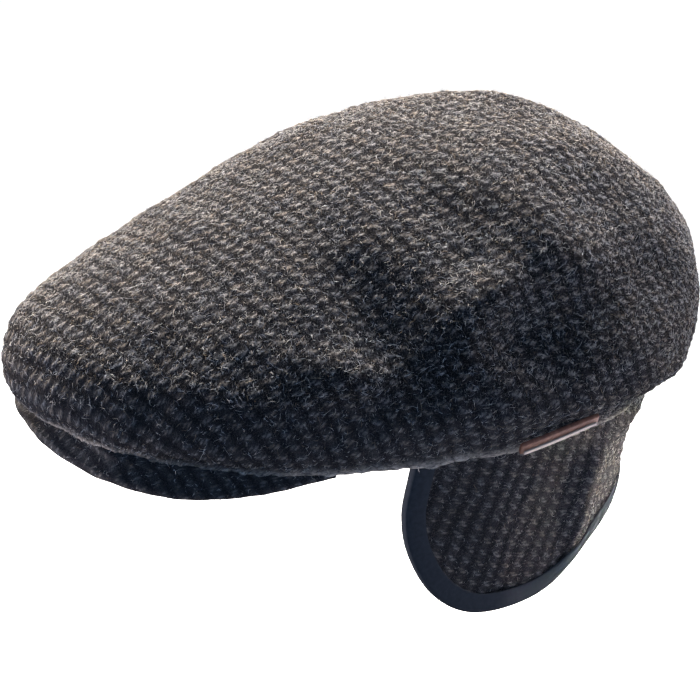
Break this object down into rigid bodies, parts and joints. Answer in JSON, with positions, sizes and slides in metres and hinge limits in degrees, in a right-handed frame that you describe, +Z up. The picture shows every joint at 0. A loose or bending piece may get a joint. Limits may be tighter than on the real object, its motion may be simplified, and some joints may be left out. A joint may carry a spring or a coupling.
{
  "type": "flat cap with ear flaps",
  "caption": "Soft tweed flat cap with a short peak under a full crown, and a bound ear flap let down from temple to temple round the nape.",
  "frame": {"origin": "middle of the head opening, in the plane of the rim at the temples", "axes": "+Z up through the crown, the peak points to -Y, the wearer's left is +X"},
  "size_m": [0.2038, 0.2931, 0.1871],
  "materials": {
    "tweed": "brushed wool tweed, dark with pale flecks",
    "binding_tape": "matt woven tape",
    "leather": "smooth brown leather",
    "plate": "brushed"
  },
  "bodies": {
    "root": {"crown": "tweed", "peak": "tweed", "ear_flap": "tweed", "flap_binding": "binding_tape", "label_patch": "leather", "label_plate": "plate"}
  },
  "joints": []
}
